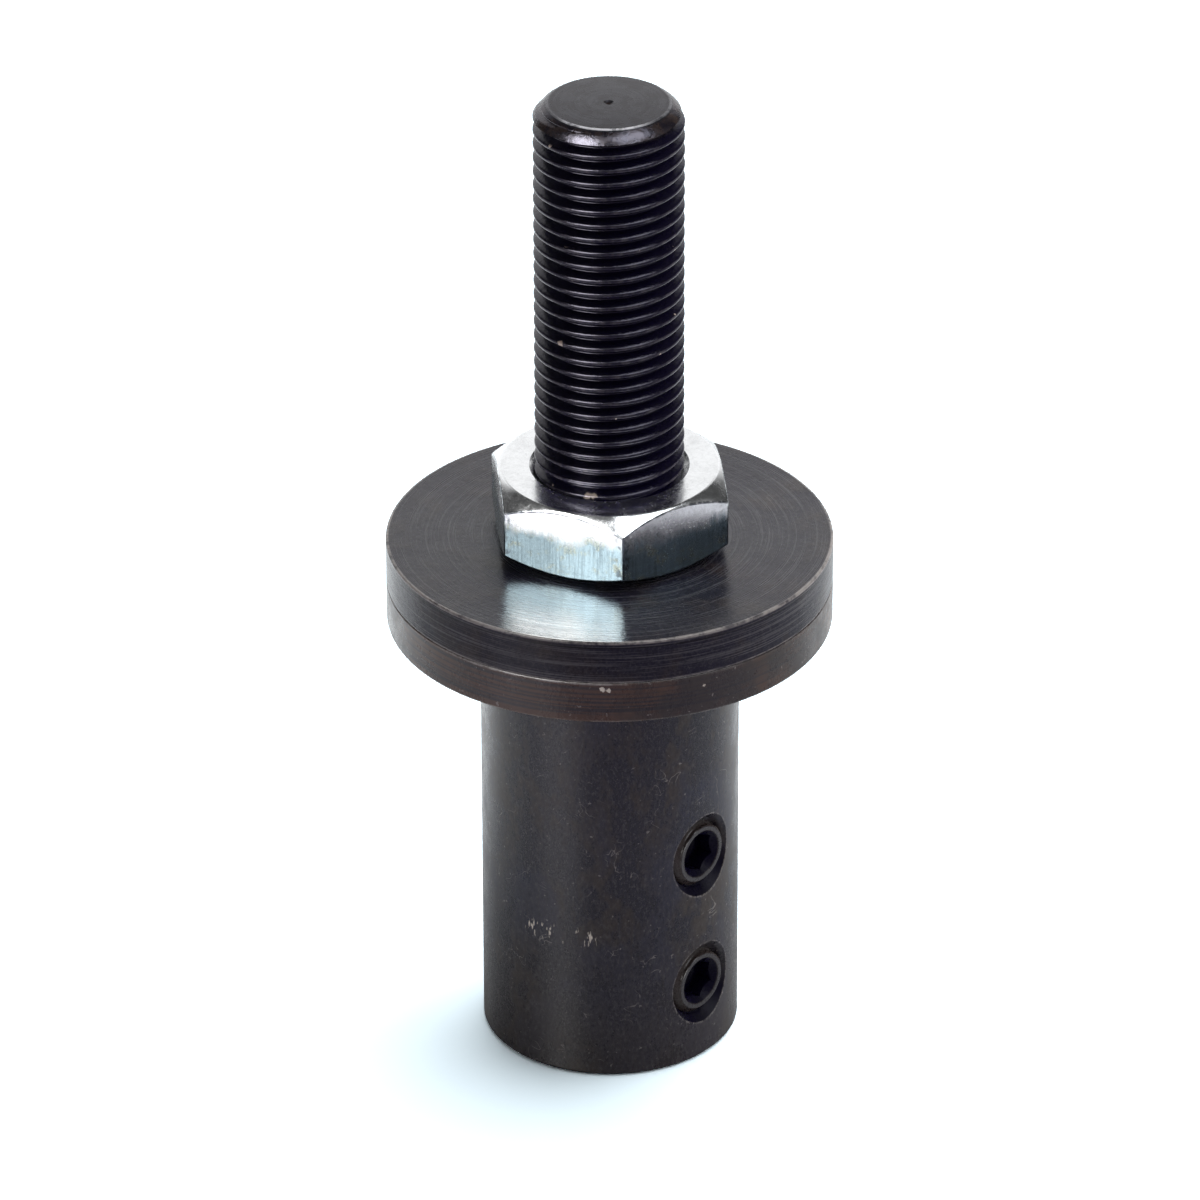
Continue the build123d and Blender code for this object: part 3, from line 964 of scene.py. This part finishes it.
class ARBOR_OT_stage(bpy.types.Operator):
    """Lay the floor, hang the lights and set up the camera"""

    bl_idname = "arbor.stage"
    bl_label = "Stage"

    def execute(self, context):
        settings = context.scene.arbor
        stage = settings.stage
        scene = context.scene
        scene.view_settings.view_transform = "Standard"
        self.floor(stage, settings.finish)
        self.world(scene, stage)
        self.soft_box("left_soft_box", stage, stage.left_light, *LEFT_BOX)
        self.soft_box("right_soft_box", stage, stage.right_light, *RIGHT_BOX)
        self.camera(scene, stage)
        return {"FINISHED"}

    def floor(self, stage, colours):
        """A pale table, burnt out to the camera. In the metal it carries painted light and shade: greyer and
        violet on the camera's side, painted shade round the foot, brighter to the left and just behind,
        darker far behind.
        """
        bm = bmesh.new()
        bmesh.ops.create_grid(bm, x_segments=1, y_segments=1, size=FLOOR_HALF_WIDTH)
        floor = as_object(bm, "floor")
        finish = Finish("White table", IOR=1.36, Roughness=0.32)
        away = (-cos(stage.camera_side), -sin(stage.camera_side), 0)
        left = (sin(stage.camera_side), -cos(stage.camera_side), 0)
        painted_near_tint = (0.9, 0.82, 1.0)
        depth = finish.vector("DOT_PRODUCT", finish.place, away, "Value")
        leftward = finish.vector("DOT_PRODUCT", finish.place, left, "Value")
        # Painted light and shade in the table's colour, seen only in the metal
        painted_light_level = finish.ramp(depth, -110, 10, 0.5, 1.0)
        painted_light_level = finish.both(painted_light_level, finish.ramp(leftward, 10, 60, 1.0, 1.4))
        painted_light_level = finish.both(painted_light_level, finish.ramp(depth, 5, 45, 1.0, 1.65))
        painted_light_level = finish.both(painted_light_level, finish.ramp(depth, 55, 110, 1.0, 0.7))
        painted_light_level = finish.both(painted_light_level, finish.ramp(finish.radius, 12, 60, 0.6, 1.0))
        painted_light_level = finish.add("CombineXYZ", X=painted_light_level, Y=painted_light_level, Z=painted_light_level).outputs[0]
        tint = finish.mix(finish.ramp(depth, -110, 10), painted_near_tint, colours.floor)
        finish.set("Base Color", finish.vector("MULTIPLY", tint, painted_light_level))
        seen = tuple(stage.table_exposure * c for c in colours.shade)
        burnt_out = finish.add("BsdfDiffuse", Color=(*seen, 1)).outputs[0]
        to_camera = finish.add("LightPath").outputs["Is Camera Ray"]
        chosen = finish.add("MixShader")
        for socket, value in zip(chosen.inputs, (to_camera, finish.shader.outputs[0], burnt_out)):
            finish.feed(socket, value)
        finish.links.new(chosen.outputs[0], finish.surface)
        floor.data.materials.append(finish.material)

    def world(self, scene, stage):
        """White to the camera. The metal mirrors a white wall behind the arbor in a dim room."""
        world = bpy.data.worlds.new("Studio")
        scene.world = world
        world.cycles.sampling_method = "NONE"
        room = Nodes(world)
        direction = room.add("TexCoord").outputs["Generated"]
        level = room.vector("NORMALIZE", room.vector("MULTIPLY", direction, (1, 1, 0)))
        rise = room.add("SeparateXYZ", Vector=direction).outputs["Z"]
        wall_side = towards(stage.camera_side + pi + stage.wall_turn, 0)
        facing = room.vector("DOT_PRODUCT", level, wall_side, "Value")
        across = room.math("ADD", room.ramp(facing, 0.7, 0.86), room.ramp(facing, 0.15, 0.35, 0.2, 0))
        wall = room.math("MULTIPLY", across, room.ramp(rise, 0.52, 0.66, 1, 0))
        mirrored = room.math("MULTIPLY_ADD", wall, 0.95, 0.05)
        brightest = towards(stage.camera_side + stage.sky_turn, stage.sky_rise)
        behind = room.vector("DOT_PRODUCT", direction, brightest, "Value")
        sky = room.ramp(behind, -0.05, 0.89, stage.front_sky, stage.rear_sky)
        path = room.add("LightPath").outputs
        strength = room.blend(path["Is Diffuse Ray"], mirrored, sky)
        strength = room.blend(path["Is Camera Ray"], strength, 1.0)
        surroundings = room.add("Background", Color=(1, 1, 1, 1), Strength=strength).outputs[0]
        room.links.new(surroundings, room.add("OutputWorld").inputs["Surface"])

    def soft_box(self, name, stage, brightness, side, rise, size, tint):
        """A lamp that shows only as a highlight, at angles from the camera's side and above the floor."""
        lamp = bpy.data.lights.new(name, "AREA")
        lamp.shape = "RECTANGLE"
        lamp.size, lamp.size_y = size
        lamp.energy = brightness * pi * size[0] * size[1]
        lamp.color = tint
        direction = towards(stage.camera_side + radians(side), radians(rise))
        box = bpy.data.objects.new(name, lamp)
        box.location = Vector((0, 0, stage.camera_aim)) + direction * SOFT_BOX_DISTANCE
        box.rotation_mode = "QUATERNION"
        box.rotation_quaternion = (-direction).to_track_quat("-Z", "Y")
        box.visible_camera = False
        box.visible_diffuse = False
        bpy.context.scene.collection.objects.link(box)

    def camera(self, scene, stage):
        data = bpy.data.cameras.new("camera")
        data.lens = stage.focal_length
        data.sensor_width = SENSOR_WIDTH
        data.shift_x = stage.camera_shift
        data.clip_start, data.clip_end = NEAREST_SEEN, FARTHEST_SEEN
        direction = towards(stage.camera_side, stage.camera_rise)
        camera = bpy.data.objects.new("camera", data)
        camera.location = Vector((0, 0, stage.camera_aim)) + direction * stage.camera_distance
        camera.rotation_mode = "QUATERNION"
        level = (-direction).to_track_quat("-Z", "Y")
        camera.rotation_quaternion = level @ Quaternion((0, 0, 1), stage.camera_roll)
        scene.collection.objects.link(camera)
        scene.camera = camera


class ARBOR_PT_panel(bpy.types.Panel):
    """Lists the arbor's pieces and their sizes"""

    bl_idname = "ARBOR_PT_panel"
    bl_label = "Grinding wheel arbor"
    bl_space_type = "VIEW_3D"
    bl_region_type = "UI"
    bl_category = "Arbor"

    def draw(self, context):
        settings = context.scene.arbor
        for operator, group, sizes in STEPS:
            box = self.layout.box()
            box.operator(operator)
            for name in sizes.__annotations__:
                box.prop(getattr(settings, group), name)
        box = self.layout.box()
        for name in FinishColours.__annotations__:
            box.prop(settings.finish, name)


STEPS = (
    ("arbor.turn_body", "body", BodySizes),
    ("arbor.thread_stud", "stud", StudSizes),
    ("arbor.outer_flange", "flange", OuterFlangeSizes),
    ("arbor.hex_nut", "nut", NutSizes),
    ("arbor.set_screws", "set_screw", SetScrewSizes),
    ("arbor.stage", "stage", StageSettings),
)
CLASSES = (
    BodySizes, StudSizes, OuterFlangeSizes, NutSizes, SetScrewSizes, FinishColours, StageSettings,
    ArborSettings, ARBOR_OT_turn_body, ARBOR_OT_thread_stud, ARBOR_OT_outer_flange, ARBOR_OT_hex_nut,
    ARBOR_OT_set_screws, ARBOR_OT_stage, ARBOR_PT_panel,
)


def register():
    for cls in CLASSES:
        bpy.utils.register_class(cls)
    bpy.types.Scene.arbor = PointerProperty(type=ArborSettings)


def unregister():
    del bpy.types.Scene.arbor
    for cls in reversed(CLASSES):
        bpy.utils.unregister_class(cls)


def main():
    register()
    bpy.ops.arbor.turn_body()
    bpy.ops.arbor.thread_stud()
    bpy.ops.arbor.outer_flange()
    bpy.ops.arbor.hex_nut()
    bpy.ops.arbor.set_screws()
    bpy.ops.arbor.stage()


if __name__ == "__main__":
    main()
